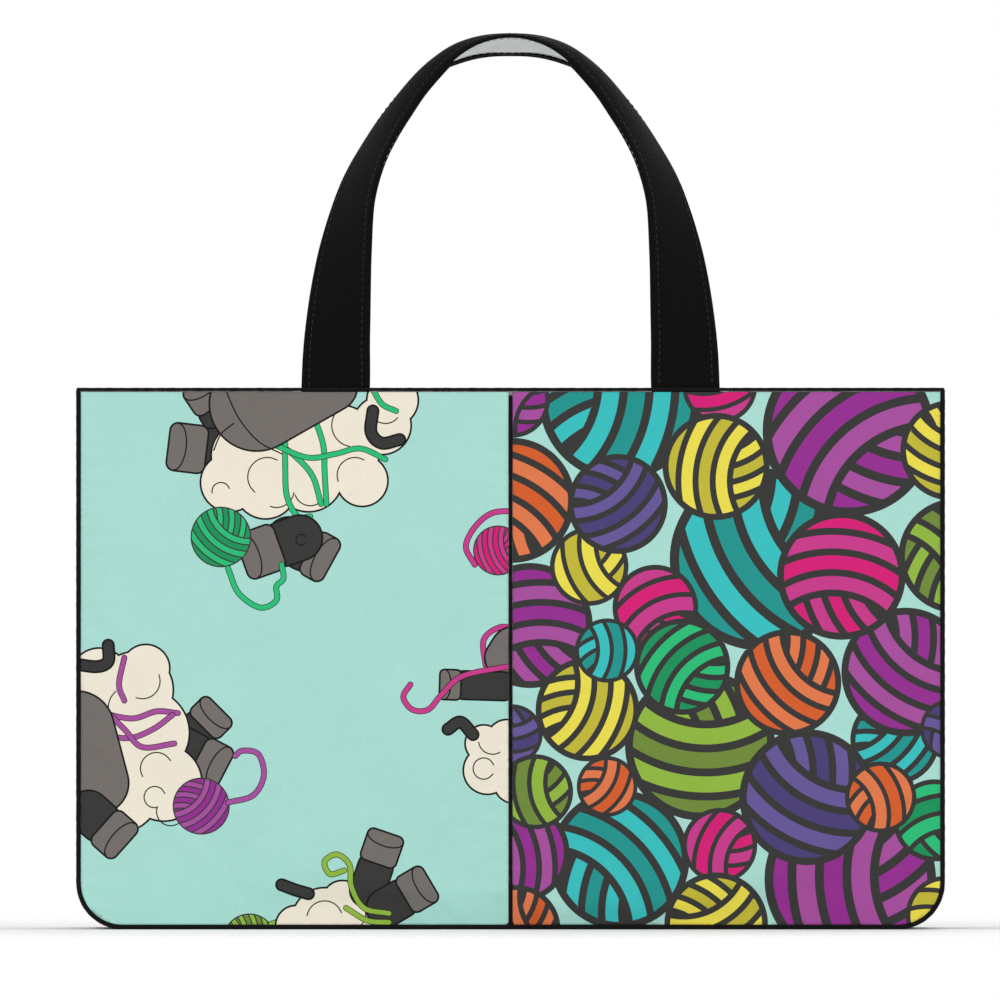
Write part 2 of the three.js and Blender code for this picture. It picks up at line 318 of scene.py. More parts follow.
def cloth_material(name, code, pitch, roughness=0.9, sheen=0.02, gloss=0.25, spread=0.16, depth=0.12):
    """Woven cloth in one colour, with threads and slubs in the bump, painted shade that darkens the hollows
    between threads and lightens the raised threads, and slight fading.
    """
    material, tree, shader = new_material(name, roughness, sheen, gloss)
    place = flat_place(tree)
    weave = weave_height(tree, place, pitch)
    slubs = noise_at(tree, place, 900.0, 2.0)
    height = math_node(tree, "ADD", weave, slubs)
    patchy = shaded(tree, linear(code), noise_at(tree, place, 30.0, 5.0), 1 - spread, 1 + spread)
    # Painted shade: the colour is darkened where the weave is low, in the hollows between threads, and
    # lightened on the raised threads.
    painted_weave_shade = shaded(tree, patchy, zero_to_one(tree, weave), 0.88, 1.08)
    tree.links.new(painted_weave_shade, shader.inputs["Base Color"])
    add_bump(tree, shader, height, depth * MM)
    return material


def webbing_material(name, code, pitch, depth, gloss=0.25):
    """Webbing or tape in one colour, with ribs along it."""
    material, tree, shader = new_material(name, 0.75, 0.01, gloss)
    place = flat_place(tree)
    ribs = rib_height(tree, place, pitch, 0.7)
    shade = shaded(tree, linear(code), noise_at(tree, place, 60.0, 4.0), 0.85, 1.2)
    tree.links.new(shade, shader.inputs["Base Color"])
    add_bump(tree, shader, ribs, depth * MM)
    return material


def thread_material(name, code):
    """Sewing thread, with fine fibres."""
    material, tree, shader = new_material(name, 0.55, 0.2)
    place = tree.nodes.new("ShaderNodeTexCoord")
    fibres = noise_at(tree, place.outputs["Object"], 2500.0, 2.0)
    tree.links.new(shaded(tree, linear(code), fibres, 0.8, 1.2), shader.inputs["Base Color"])
    add_bump(tree, shader, fibres, 0.05 * MM)
    return material


def solid_material(name, code, scale, roughness, low, high):
    """A plain filling such as foam or board, with pores or fibres of one size."""
    material, tree, shader = new_material(name, roughness)
    place = tree.nodes.new("ShaderNodeTexCoord")
    grain = noise_at(tree, place.outputs["Object"], scale, 4.0)
    tree.links.new(shaded(tree, linear(code), grain, low, high), shader.inputs["Base Color"])
    add_bump(tree, shader, grain, 0.3 * MM)
    return material


# ---------------------------------------------------------------- mesh helpers


def make_mesh(name, points, faces, material, flat=None, smooth=True):
    mesh = bpy.data.meshes.new(name)
    mesh.from_pydata([tuple(p) for p in np.asarray(points, float)], [], [tuple(f) for f in faces])
    if flat is not None:
        layer = mesh.attributes.new("cloth", "FLOAT_VECTOR", "POINT")
        values = np.zeros((len(points), 3), np.float32)
        values[:, :2] = flat
        layer.data.foreach_set("vector", values.ravel())
    if smooth:
        mesh.polygons.foreach_set("use_smooth", [True] * len(mesh.polygons))
    mesh.materials.append(material)
    mesh.update()
    piece = bpy.data.objects.new(name, mesh)
    bpy.context.scene.collection.objects.link(piece)
    return piece


def thicken(piece, thickness, side=-1.0):
    """Gives a sheet its thickness, behind its faces where side is -1."""
    solid = piece.modifiers.new("thickness", "SOLIDIFY")
    solid.thickness = thickness
    solid.offset = side
    return piece


def grid_faces(rows, columns, closed=False):
    """Faces of a grid of points stored row by row. closed joins the last column to the first."""
    faces = []
    for i in range(rows - 1):
        for k in range(columns if closed else columns - 1):
            l = (k + 1) % columns
            faces.append((i * columns + k, i * columns + l, (i + 1) * columns + l, (i + 1) * columns + k))
    return faces


def resample(points, step, closed=False):
    """Points at even steps along a path."""
    points = np.asarray(points, float)
    if closed:
        points = np.vstack([points, points[:1]])
    lengths = run_along(points)
    count = max(2, round(lengths[-1] / step) + 1)
    at = np.linspace(0, lengths[-1], count)
    even = np.column_stack([np.interp(at, lengths, points[:, axis]) for axis in range(points.shape[1])])
    return even[:-1] if closed else even


def tube(name, path, radius, material, closed=False, sides=12):
    """A round cord cover along a path, with the small unevenness of cloth drawn over cord."""
    path = np.asarray(path, float)
    count = len(path)
    if closed:
        along = np.roll(path, -1, 0) - np.roll(path, 1, 0)
    else:
        along = np.gradient(path, axis=0)
    along = unit(along)
    seed = np.array([0.0, 1.0, 0.0]) if np.abs(along[:, 1]).max() < 0.9 else np.array([0.0, 0.0, 1.0])
    side = unit(np.cross(seed, along))
    up = np.cross(along, side)
    run = run_along(path)
    swell = radius * (1 + 0.05 * np.sin(run * 900) + 0.03 * np.sin(run * 370 + 1.0))
    points, flat = [], []
    for k in range(sides):
        angle = 2 * math.pi * k / sides
        points.append(path + swell[:, None] * (np.cos(angle) * side + np.sin(angle) * up))
        flat.append(np.column_stack([run, np.full(count, angle * radius)]))
    points = np.stack(points, 1).reshape(-1, 3)
    flat = np.stack(flat, 1).reshape(-1, 2)
    faces = grid_faces(count, sides, closed=True)
    if closed:
        last = (count - 1) * sides
        faces += [(last + k, last + (k + 1) % sides, (k + 1) % sides, k) for k in range(sides)]
    else:
        faces += [tuple(range(sides))[::-1], tuple((count - 1) * sides + k for k in range(sides))]
    return make_mesh(name, points, faces, material, flat)


def stitch_row(path, normals, length=2.8 * MM, gap=1.1 * MM, radius=0.26 * MM):
    """Points and faces of a row of stitches that lie on a surface, from a path on it and its normals."""
    run = run_along(path)
    count = int(run[-1] / (length + gap))
    sides, rings = 6, 5
    points, faces = [], []
    for i in range(count):
        at = (i + 0.5) * (length + gap) + np.linspace(-length / 2, length / 2, rings)
        centre = np.column_stack([np.interp(at, run, path[:, a]) for a in range(3)])
        normal = unit(np.column_stack([np.interp(at, run, normals[:, a]) for a in range(3)]))
        along = centre[-1] - centre[0]
        along /= np.linalg.norm(along)
        side = np.cross(along, normal)
        swell = np.array([0.35, 0.85, 1.0, 0.85, 0.35]) * radius
        lift = np.array([-0.5, 0.3, 0.55, 0.3, -0.5]) * radius
        start = len(points)
        for r in range(rings):
            for k in range(sides):
                angle = 2 * math.pi * k / sides
                offset = swell[r] * (math.cos(angle) * side[r] + math.sin(angle) * normal[r])
                points.append(centre[r] + normal[r] * lift[r] + offset)
        for r in range(rings - 1):
            for k in range(sides):
                l = (k + 1) % sides
                a = start + r * sides
                faces.append((a + k, a + l, a + sides + l, a + sides + k))
        faces.append(tuple(start + k for k in range(sides))[::-1])
        faces.append(tuple(start + (rings - 1) * sides + k for k in range(sides)))
    return points, faces


def stitching(name, rows, material):
    points, faces = [], []
    for path, normals in rows:
        row_points, row_faces = stitch_row(np.asarray(path, float), np.asarray(normals, float))
        faces += [tuple(i + len(points) for i in face) for face in row_faces]
        points += row_points
    return make_mesh(name, points, faces, material)


def turned(piece):
    """The same piece on the front of the bag: half a turn about Z."""
    co = np.array([v.co for v in piece.data.vertices]) * (-1, -1, 1)
    piece.data.vertices.foreach_set("co", co.astype(np.float32).ravel())
    piece.data.update()
    return piece


def finish_piece(piece, body, slot, *nodes):
    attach(piece, body)
    if nodes:
        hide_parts(*nodes)
    return piece


# ---------------------------------------------------------------- how the cloth gives


def edge_distance(x, z):
    """Distance in from the piping round a wall, with its rounded lower corners."""
    x = np.abs(x)
    side = PANEL_SIDE - x
    base = z - PANEL_BASE
    radius = CORNER - PANEL_BASE
    in_corner = (x > PANEL_SIDE - radius) & (z < PANEL_BASE + radius)
    from_centre = np.hypot(x - (PANEL_SIDE - radius), z - (PANEL_BASE + radius))
    inside = np.where(in_corner, radius - from_centre, np.minimum(side, base))
    return np.minimum(inside, SEWN_TOP - z)


def simulate_wall():
    """How far one wall stands out as cloth, held along its piping under slight pressure and gravity."""
    columns = int(2 * PANEL_SIDE / GRID) + 1
    rows = int((SEWN_TOP - PANEL_BASE) / GRID) + 1
    xs = np.linspace(-PANEL_SIDE, PANEL_SIDE, columns)
    zs = np.linspace(PANEL_BASE, SEWN_TOP, rows)
    grid_x, grid_z = np.meshgrid(xs, zs)
    inside = edge_distance(grid_x, grid_z)
    rough = 0.4 * MM * rng.standard_normal(grid_x.shape)
    start = np.where(inside > GRID, rough, 0)
    points = np.column_stack([grid_x.ravel(), start.ravel(), grid_z.ravel()])
    plain = new_material("simulated", 0.9)[0]
    sheet = make_mesh("simulated_wall", points, grid_faces(rows, columns), plain)
    held = sheet.vertex_groups.new(name="held")
    held.add([int(i) for i in np.flatnonzero(inside.ravel() < GRID * 0.6)], 1.0, "REPLACE")
    cloth = sheet.modifiers.new("cloth", "CLOTH")
    settings = cloth.settings
    settings.quality = 6
    settings.mass = 0.4
    settings.tension_stiffness = 25
    settings.compression_stiffness = 25
    settings.shear_stiffness = 12
    settings.bending_stiffness = 4
    settings.vertex_group_mass = "held"
    settings.shrink_min = -0.006
    settings.use_pressure = True
    settings.uniform_pressure_force = 0.8
    cloth.collision_settings.use_collision = False
    scene = bpy.context.scene
    scene.frame_start, scene.frame_end = 1, SIMULATED_FRAMES
    cloth.point_cache.frame_start, cloth.point_cache.frame_end = 1, SIMULATED_FRAMES
    for step in range(1, SIMULATED_FRAMES + 1):
        scene.frame_set(step)
    settled = sheet.evaluated_get(bpy.context.evaluated_depsgraph_get()).to_mesh()
    moved = np.array([v.co.y for v in settled.vertices]).reshape(grid_x.shape)
    scene.frame_set(1)
    bpy.data.objects.remove(sheet, do_unlink=True)
    out = -moved if abs(moved.min()) > abs(moved.max()) else moved
    out = out / max(abs(out).max(), 1e-6) * WALL_BULGE
    return xs, zs, np.maximum(out, -0.2 * MM)


wall_x, wall_z, wall_out = simulate_wall()


def spline_weights(t):
    return (
        -0.5 * t + t**2 - 0.5 * t**3,
        1 - 2.5 * t**2 + 1.5 * t**3,
        0.5 * t + 2 * t**2 - 1.5 * t**3,
        -0.5 * t**2 + 0.5 * t**3,
    )


def bulge(x, z):
    """How far a wall stands out at a place on it, read smoothly from the simulated grid."""
    x, z = np.asarray(x, float), np.asarray(z, float)
    u = np.clip((x - wall_x[0]) / (wall_x[1] - wall_x[0]), 0, len(wall_x) - 1.001)
    v = np.clip((z - wall_z[0]) / (wall_z[1] - wall_z[0]), 0, len(wall_z) - 1.001)
    i, j = np.floor(u).astype(int), np.floor(v).astype(int)
    total = np.zeros_like(u)
    for b, down in enumerate(spline_weights(v - j)):
        row = np.clip(j + b - 1, 0, len(wall_z) - 1)
        for a, over in enumerate(spline_weights(u - i)):
            column = np.clip(i + a - 1, 0, len(wall_x) - 1)
            total += down * over * wall_out[row, column]
    return total


def puckers(x, z):
    """Small gathers that a seam draws in beside itself, dying out within a few millimetres."""
    sides = 0
    wobble = 0.5 * np.sin(x * 97 + 1.3) + 0.5 * np.sin(z * 131 + 0.4)
    for distance, run in (
        (np.minimum(PANEL_SIDE - np.abs(x), np.abs(x)), z),
        (np.minimum(z - PANEL_BASE, SEWN_TOP - z), x),
    ):
        wave = np.sin(2 * math.pi * run / PUCKER_PITCH + 2.2 * wobble)
        near = np.clip(distance, 0, None) / PUCKER_REACH
        sides = sides + wave * near * np.exp(1 - near)
    return PUCKER * sides


def fold_in(points):
    """The gusset sides fold in between the walls, most at the mouth and not at all at the base."""
    points = np.array(points, float)
    x, y, z = points.T
    rise = ease((z - 30 * MM) / (SEWN_TOP - 30 * MM))
    across = 0.5 + 0.5 * np.cos(math.pi * np.clip(y / (HALF_DEPTH - 2 * MM), -1, 1))
    near = ease((np.abs(x) - (HALF_WIDTH - 40 * MM)) / (30 * MM))
    ripple = 1 + 0.12 * np.sin(z * 55 + np.sign(x) * 0.9) + 0.06 * np.sin(z * 140 + y * 60)
    points[:, 0] = x - np.sign(x) * SIDE_FOLD * rise * across * near * ripple
    return points


# ---------------------------------------------------------------- prints

INK = "343433"
OUTLINE = "0c0c0c"
MINT = "a9dcd2"
CREAM = "efe6d4"
GREY = "736d69"
COAT = "343433"
HUES = {
    "purple": ("a64d9d", "942a90"),
    "teal": ("36bfbf", "1c948e"),
    "magenta": ("c7388a", "d51676"),
    "yellow": ("eadc4d", "c1b736"),
    "orange": ("e17849", "d45d28"),
    "indigo": ("655597", "493d76"),
    "lime": ("90b73f", "6f8a38"),
    "green": ("27bd77", "139259"),
}
CURVE_ERROR = 0.03  # millimetres between a drawn curve and its straight pieces


def circle(x, z, radius):
    """A round outline in millimetres, in steps short enough for CURVE_ERROR."""
    count = max(12, math.ceil(2 * math.pi * radius / math.sqrt(8 * radius * CURVE_ERROR)))
    angle = np.linspace(0, 2 * math.pi, count + 1)
    return np.column_stack([x + radius * np.cos(angle), z + radius * np.sin(angle)])


class Ball:
    """A drawn ball of yarn: a round outline, a broad group of strands and a second group that crosses it."""

    def __init__(self, x, z, radius, hue, turn, line, bands):
        self.centre = np.array([x, z], float)
        self.radius, self.line = radius, line
        self.tones = HUES[hue]
        away = 1.5 * radius
        self.first = self.centre + away * np.array([math.cos(turn), math.sin(turn)])
        self.split = away - 0.28 * radius
        self.step = (away + radius - self.split) / bands
        lean = turn + 1.8
        self.second = self.centre + 1.4 * radius * np.array([math.cos(lean), math.sin(lean)])
        self.second_step = 0.9 * self.step

    def paint(self, points, colours, codes):
        near = np.linalg.norm(points - self.centre, axis=1)
        inside = near < self.radius
        at = points[inside]
        s = np.linalg.norm(at - self.first, axis=1)
        q = np.linalg.norm(at - self.second, axis=1)
        main = s > self.split
        step = np.where(main, self.step, self.second_step)
        run = np.where(main, s - self.split, q)
        band = np.floor(run / step)
        edge = run - band * step
        line = (np.minimum(edge, step - edge) < self.line / 2) | (np.abs(s - self.split) < self.line / 2)
        line |= near[inside] > self.radius - self.line
        light, dark = (codes.index(tone) for tone in self.tones)
        tone = np.where(band % 2 == 0, light, dark)
        colours[inside] = np.where(line, codes.index(INK), tone)

    def outlines(self):
        x, z = self.centre
        yield circle(x, z, self.radius)
        yield circle(x, z, self.radius - self.line)
        rings = [(self.first, self.split, self.step), (self.second, 0.0, self.second_step)]
        for middle, start, step in rings:
            reach = np.linalg.norm(middle - self.centre)
            for k in range(int((reach + self.radius - start) / step) + 2):
                for side in (-0.5, 0.5):
                    ring = start + k * step + side * self.line
                    if abs(reach - ring) < self.radius:
                        path = circle(*middle, ring)
                        close = np.linalg.norm(path - self.centre, axis=1) < self.radius + 5
                        cuts = np.flatnonzero(np.diff(close.astype(int)) != 0) + 1
                        for part, keep in zip(np.split(path, cuts), np.split(close, cuts)):
                            if keep[0] and len(part) > 1:
                                yield part


class Shape:
    """Rounded limbs and puffs joined into one filled outline. Each part is a chain of points and a radius."""

    def __init__(self, parts, fill, line=1.1):
        self.parts = [(np.atleast_2d(np.array(chain, float)), radius) for chain, radius in parts]
        self.fill, self.line = fill, line

    def depth(self, points):
        """How far each point is outside the outline, less than 0 inside."""
        nearest = np.full(len(points), 1e9)
        for chain, radius in self.parts:
            ends = chain if len(chain) > 1 else np.vstack([chain, chain + 1e-6])
            for a, b in zip(ends[:-1], ends[1:]):
                t = np.clip((points - a) @ (b - a) / ((b - a) @ (b - a)), 0, 1)
                away = np.linalg.norm(points - a - t[:, None] * (b - a), axis=1) - radius
                nearest = np.minimum(nearest, away)
        return nearest

    def paint(self, points, colours, codes):
        low = np.min([chain.min(0) - radius for chain, radius in self.parts], axis=0)
        high = np.max([chain.max(0) + radius for chain, radius in self.parts], axis=0)
        box = np.flatnonzero(((points > low) & (points < high)).all(1))
        depth = self.depth(points[box])
        colours[box[depth < 0]] = codes.index(OUTLINE)
        colours[box[depth < -self.line]] = codes.index(self.fill)

    def outlines(self):
        for chain, radius in self.parts:
            for reach in {radius, radius - self.line}:
                if reach <= 0:
                    continue
                for x, z in chain:
                    yield circle(x, z, reach)
                for a, b in zip(chain[:-1], chain[1:]):
                    side = np.array([a[1] - b[1], b[0] - a[0]]) / np.linalg.norm(b - a) * reach
                    count = max(2, int(np.linalg.norm(b - a) / 3) + 1)
                    for sign in (-1, 1):
                        yield np.linspace(a + sign * side, b + sign * side, count)


def smooth_chain(points, step=1.6):
    """A chain of points with its bends rounded."""
    points = np.array(points, float)
    padded = np.vstack([2 * points[0] - points[1], points, 2 * points[-1] - points[-2]])
    out = []
    for p0, p1, p2, p3 in zip(padded, padded[1:], padded[2:], padded[3:]):
        count = max(2, int(np.linalg.norm(p2 - p1) / step))
        for t in np.arange(count) / count:
            w = spline_weights(t)
            out.append(w[0] * p0 + w[1] * p1 + w[2] * p2 + w[3] * p3)
    return np.vstack([*out, points[-1]])


def strand(points, hue, radius=1.7):
    return Shape([(smooth_chain(points), radius)], HUES[hue][0], 0.4)


def stroke(points, radius=0.3):
    """A thin drawn line."""
    return Shape([(smooth_chain(points), radius)], OUTLINE, 0.0)


def curl(x, z, radius, start, finish):
    """A thin drawn arc, from one angle in degrees to another."""
    angle = np.radians(np.linspace(start, finish, 9))
    return stroke(np.column_stack([x + radius * np.cos(angle), z + radius * np.sin(angle)]), 0.35)


def puffs(*places):
    return Shape([([(x, z)], radius) for x, z, radius in places], CREAM)


def egg(start, finish, blunt, narrow):
    """A smooth egg from its blunt end to its narrow one."""
    shares = np.linspace(0, 1, 22)
    start, finish = np.array(start, float), np.array(finish, float)
    parts = [([start + (finish - start) * t], blunt + (narrow - blunt) * t) for t in shares]
    return Shape(parts, GREY)


def ear(*points):
    return Shape([(smooth_chain(points), 3.7)], COAT)


def leg(knee, foot, width, hoof=0.62):
    """A dark leg that ends in a grey hoof, a rounded block with the rim of its sole drawn across it."""
    knee, foot = np.array(knee, float), np.array(foot, float)
    out = (foot - knee) / np.linalg.norm(foot - knee)
    across = np.array([-out[1], out[0]])
    ankle = knee + hoof * (foot - knee)
    corner = 0.36 * width
    shares = np.linspace(-1, 1, 5)[:, None]
    top, heel = (end + shares * across * (width - corner) for end in (ankle, foot))
    block = [(top, corner), (heel, corner)] + [([a, b], corner) for a, b in zip(top, heel)]
    angle = np.linspace(0, math.pi, 9)[:, None]
    rim = foot + 0.94 * width * np.cos(angle) * across - 0.4 * width * np.sin(angle) * out
    return [
        Shape([([knee, ankle - 0.5 * width * out], 0.95 * width)], COAT),
        Shape(block, GREY),
        stroke(rim, 0.4),
    ]


def small_ball(x, z, radius, hue, turn):
    return Ball(x, z, radius, hue, turn, 0.75, 6)


def sheep_print():
    """The mint half: four plain woolly shapes with yarn, in millimetres from the seam and the floor."""
    top = [
        *leg((-158, 283), (-172, 304), 13),
        *leg((-154, 266), (-187, 270), 14),
        puffs(
            (-157, 250, 17), (-137, 247, 18), (-113, 253, 20), (-96, 270, 24), (-128, 270, 22),
            (-148, 265, 20), (-83, 251, 15), (-72, 282, 17), (-66, 296, 15),
        ),
        curl(-162, 245, 5, 20, 190),
        curl(-136, 253, 11, 60, 230),
        curl(-131, 246, 10, 250, 350),
        curl(-87, 254, 10, 60, 200),
        curl(-88, 282, 12, 150, 260),
        curl(-70, 292, 9, 200, 320),
        curl(-112, 246, 9, 200, 300),
        strand([(-112, 292), (-105, 272), (-104, 256), (-103, 238)], "green"),
        strand([(-136, 276), (-122, 266), (-111, 254), (-106, 238)], "green"),
        strand([(-126, 276), (-126, 258), (-125, 242), (-119, 231), (-112, 231)], "green"),
        strand([(-134, 272), (-114, 264), (-98, 266), (-84, 269), (-70, 263)], "green"),
        strand([(-78, 304), (-72, 294), (-64, 290)], "green"),
        ear((-77, 290), (-78, 278), (-72, 272), (-62, 274)),
        egg((-142, 294), (-100, 304), 27, 15),
        stroke([(-160, 303), (-152, 286), (-141, 273), (-128, 266)], 0.4),
        stroke([(-166, 268), (-162, 277), (-155, 283)], 0.4),
        *leg((-124, 218), (-104, 207), 14, 0.75),
        *leg((-118, 219), (-146, 209), 14, 0.55),
        curl(-117, 218, 3, 40, 320),
        small_ball(-162, 219.5, 17, "green", 0.9),
        strand(
            [(-158, 202), (-152, 188), (-140, 180), (-131, 184), (-131, 192), (-127, 196), (-128, 204)],
            "green",
        ),
    ]
    left = [
        *leg((-178, 108), (-165, 121), 12),
        *leg((-184, 102), (-163, 91), 13),
        puffs(
            (-210, 134, 22), (-230, 141, 17), (-204, 110, 25), (-194, 82, 22), (-218, 76, 22),
            (-204, 146, 14), (-228, 110, 25),
        ),
        curl(-198, 90, 9, 30, 210),
        curl(-199, 74, 6, 20, 280),
        curl(-206, 139, 10, 250, 380),
        curl(-213, 124, 12, 130, 240),
        curl(-190, 66, 8, 160, 300),
        strand([(-216, 152), (-219, 137), (-216, 128)], "purple"),
        strand([(-232, 122), (-212, 118), (-198, 122), (-186, 121)], "purple"),
        strand([(-232, 110), (-214, 107), (-200, 112), (-189, 120)], "purple"),
        strand([(-230, 126), (-216, 112), (-206, 102), (-188, 104)], "purple"),
        egg((-243, 112), (-231, 82), 22, 18),
        ear((-241, 148), (-231, 147), (-225, 150), (-225, 159)),
        *leg((-236, 66), (-218, 50), 13),
        small_ball(-173, 69, 16, "purple", 2.4),
        strand([(-158, 71), (-144, 75), (-138, 86), (-141, 98), (-150, 100), (-154, 97)], "purple"),
    ]
    middle = [
        small_ball(-7, 212, 14, "magenta", 0.3),
        strand([(4, 234), (-10, 233), (-20, 225), (-25, 214), (-20, 204)], "magenta"),
        strand([(-14, 148), (-15, 162), (-6, 169), (4, 168)], "magenta"),
        egg((2, 156), (-4, 152), 14, 11),
        *leg((-4, 136), (-37, 137), 9, 0.8),
        strand([(-56, 137), (-60, 130), (-55, 123), (-46, 123), (-38, 132), (-26, 142), (4, 148)], "magenta"),
        puffs((-15, 104, 11), (-13, 89, 14), (-2, 106, 12), (2, 82, 12)),
        curl(-15, 90, 6, 20, 330),
        curl(-10, 106, 8, 190, 300),
        ear((-35, 112), (-28, 116), (-21, 109)),
    ]
    bottom = [
        small_ball(-146, -6, 15, "lime", 1.2),
        strand([(-134, 3), (-126, 5), (-116, 1)], "lime"),
        puffs((-104, 5, 19), (-120, 2, 12), (-88, 4, 14), (-94, 16, 12)),
        curl(-104, 6, 10, 20, 170),
        curl(-88, 8, 7, 300, 430),
        ear((-128, 25), (-120, 22), (-113, 20)),
        *leg((-80, 22), (-70, 51), 11),
        *leg((-70, 12), (-48, 25), 12),
        strand(
            [(-93, 33), (-101, 31), (-104, 38), (-97, 42), (-90, 36), (-89, 24), (-82, 12), (-68, 9)],
            "lime",
        ),
        strand([(-92, 12), (-80, 5), (-68, 4)], "lime"),
    ]
    return top + left + middle + bottom


# Hue, place and radius of each drawn ball of the yarn half, the furthest back first, in millimetres.
YARN_BALLS = [
    ("teal", 140, 207, 51), ("teal", 61, 296, 45), ("purple", 189, 279, 48), ("lime", 106, 103, 42),
    ("teal", 61, 39, 39), ("purple", 190, 28, 48), ("teal", 215, 106, 25), ("purple", 11, 170, 35),
    ("purple", 221, 144, 36), ("purple", 5, 43, 28), ("purple", 1, 296, 21), ("magenta", 117, 304, 21),
    ("orange", 1, 240, 35), ("yellow", 44, 203, 22), ("yellow", 43, 123, 29), ("magenta", 81, 180, 24),
    ("yellow", 246, 268, 28), ("lime", 249, 209, 32), ("yellow", 115, 259, 30), ("indigo", 60, 238, 28),
    ("magenta", 185, 198, 36), ("orange", 155, 138, 30), ("teal", 54, 156, 18), ("green", 96, 147, 27),
    ("indigo", 1, 109, 17), ("indigo", 246, 112, 17), ("lime", 14, 77, 21), ("orange", 54, 80, 17),
    ("green", 237, 61, 23), ("indigo", 166, 74, 38), ("orange", 207, 74, 20), ("magenta", 117, 47, 21),
    ("yellow", 115, 3, 29), ("yellow", 243, 8, 22), ("orange", 3, 0, 25),
]


def yarn_print():
    """The other half: striped balls of yarn that overlap, each turned another way."""
    golden = math.pi * (3 - math.sqrt(5))
    return [
        Ball(x, z, radius, hue, golden * i + 0.6, 0.7 + 0.09 * radius, 4 if radius > 24 else 3)
        for i, (hue, x, z, radius) in enumerate(YARN_BALLS)
    ]


def panel_outline(side):
    """One half of a wall in millimetres, anticlockwise, with its lower outer corner rounded."""
    radius = (CORNER - PANEL_BASE) / MM
    outer, base, top, seam = (v / MM for v in (PANEL_SIDE, PANEL_BASE, SEWN_TOP, PANEL_SEAM))
    angle = np.linspace(-math.pi / 2, 0, 24)
    centre = (outer - radius, base + radius)
    corner = np.column_stack([centre[0] + radius * np.cos(angle), centre[1] + radius * np.sin(angle)])
    path = np.vstack([[seam, top], [seam, base], corner, [outer, top]])
    path[:, 0] *= side
    return path if side > 0 else path[::-1]


def inside_outline(points, outline):
    inside = np.zeros(len(points), bool)
    for a, b in zip(outline, np.roll(outline, -1, 0)):
        crosses = (a[1] > points[:, 1]) != (b[1] > points[:, 1])
        with np.errstate(divide="ignore", invalid="ignore"):
            at = a[0] + (points[:, 1] - a[1]) / (b[1] - a[1]) * (b[0] - a[0])
        inside ^= crosses & (points[:, 0] < at)
    return inside


def paint(points, shapes, codes):
    colours = np.full(len(points), codes.index(MINT))
    for shape in shapes:
        shape.paint(points, colours, codes)
    return colours


def cut_print(shapes, side, codes):
    """Points, triangles and each triangle's colour for one half, cut along every edge that shows."""
    outline = panel_outline(side)
    pairs = [np.stack([path[:-1], path[1:]], 1) for shape in shapes for path in shape.outlines()]
    edges = np.vstack(pairs)
    low, high = outline.min(0) - 4, outline.max(0) + 4
    edges = edges[((edges > low) & (edges < high)).all((1, 2))]
    run = edges[:, 1] - edges[:, 0]
    normal = unit(np.column_stack([-run[:, 1], run[:, 0]]))
    shows = np.zeros(len(edges), bool)
    for t in (0.1, 0.5, 0.9):
        at = edges[:, 0] + t * run
        shows |= paint(at + 0.08 * normal, shapes, codes) != paint(at - 0.08 * normal, shapes, codes)
    edges = edges[shows]

    grid_step = 2.6
    xs, zs = np.arange(low[0], high[0], grid_step), np.arange(low[1], high[1], grid_step)
    grid = np.stack(np.meshgrid(xs, zs), -1).reshape(-1, 2)
    grid[:, 0] += 0.5 * grid_step * (np.round(grid[:, 1] / grid_step) % 2)
    grid = grid[inside_outline(grid, outline)]
    here = paint(grid, shapes, codes)
    clear = np.ones(len(grid), bool)
    for shift in ((0.7, 0), (-0.7, 0), (0, 0.7), (0, -0.7)):
        clear &= paint(grid + shift, shapes, codes) == here
    grid = grid[clear]

    border = resample(outline, grid_step, closed=True)
    corners = np.vstack([border, edges.reshape(-1, 2), grid])
    first = len(border)
    links = [(i, (i + 1) % first) for i in range(first)]
    links += [(first + 2 * i, first + 2 * i + 1) for i in range(len(edges))]
    made = delaunay_2d_cdt([Vector(p) for p in corners], links, [], 0, 1e-3, False)
    points = np.array([p[:] for p in made[0]])
    faces = np.array(made[2])
    middle = points[faces].mean(1)
    a, b, c = (points[faces[:, k]] for k in range(3))
    area = 0.5 * ((b[:, 0] - a[:, 0]) * (c[:, 1] - a[:, 1]) - (b[:, 1] - a[:, 1]) * (c[:, 0] - a[:, 0]))
    keep = inside_outline(middle, outline) & (np.abs(area) > 1e-6)
    faces, middle, area = faces[keep], middle[keep], area[keep]
    faces[area < 0] = faces[area < 0][:, ::-1]
    used, faces = np.unique(faces, return_inverse=True)
    return points[used] * MM, faces.reshape(-1, 3), paint(middle, shapes, codes)


def wall_surface(x, z):
    """Where a wall's outer face is: a point of the back wall for each place on it."""
    return np.column_stack([x, -PANEL_FACE - bulge(x, z) - puckers(x, z), z])


def print_panel(name, shapes, side, material, reverse):
    """One printed half of the back wall. The cloth's reverse and rim take the second material."""
    codes = [MINT, INK, OUTLINE, COAT, CREAM, GREY] + [tone for tones in HUES.values() for tone in tones]
    flat, faces, colours = cut_print(shapes, side, codes)
    points = fold_in(wall_surface(flat[:, 0], flat[:, 1]))
    piece = make_mesh(name, points, faces, material, flat)
    table = np.array([linear(code) for code in codes], np.float32)
    layer = piece.data.color_attributes.new("print", "FLOAT_COLOR", "CORNER")
    layer.data.foreach_set("color", np.repeat(table[colours], 3, axis=0).ravel())
    piece.data.materials.append(reverse)
    thicken(piece, PRINT_CLOTH)
    piece.modifiers["thickness"].material_offset = 1
    piece.modifiers["thickness"].material_offset_rim = 1
    return piece


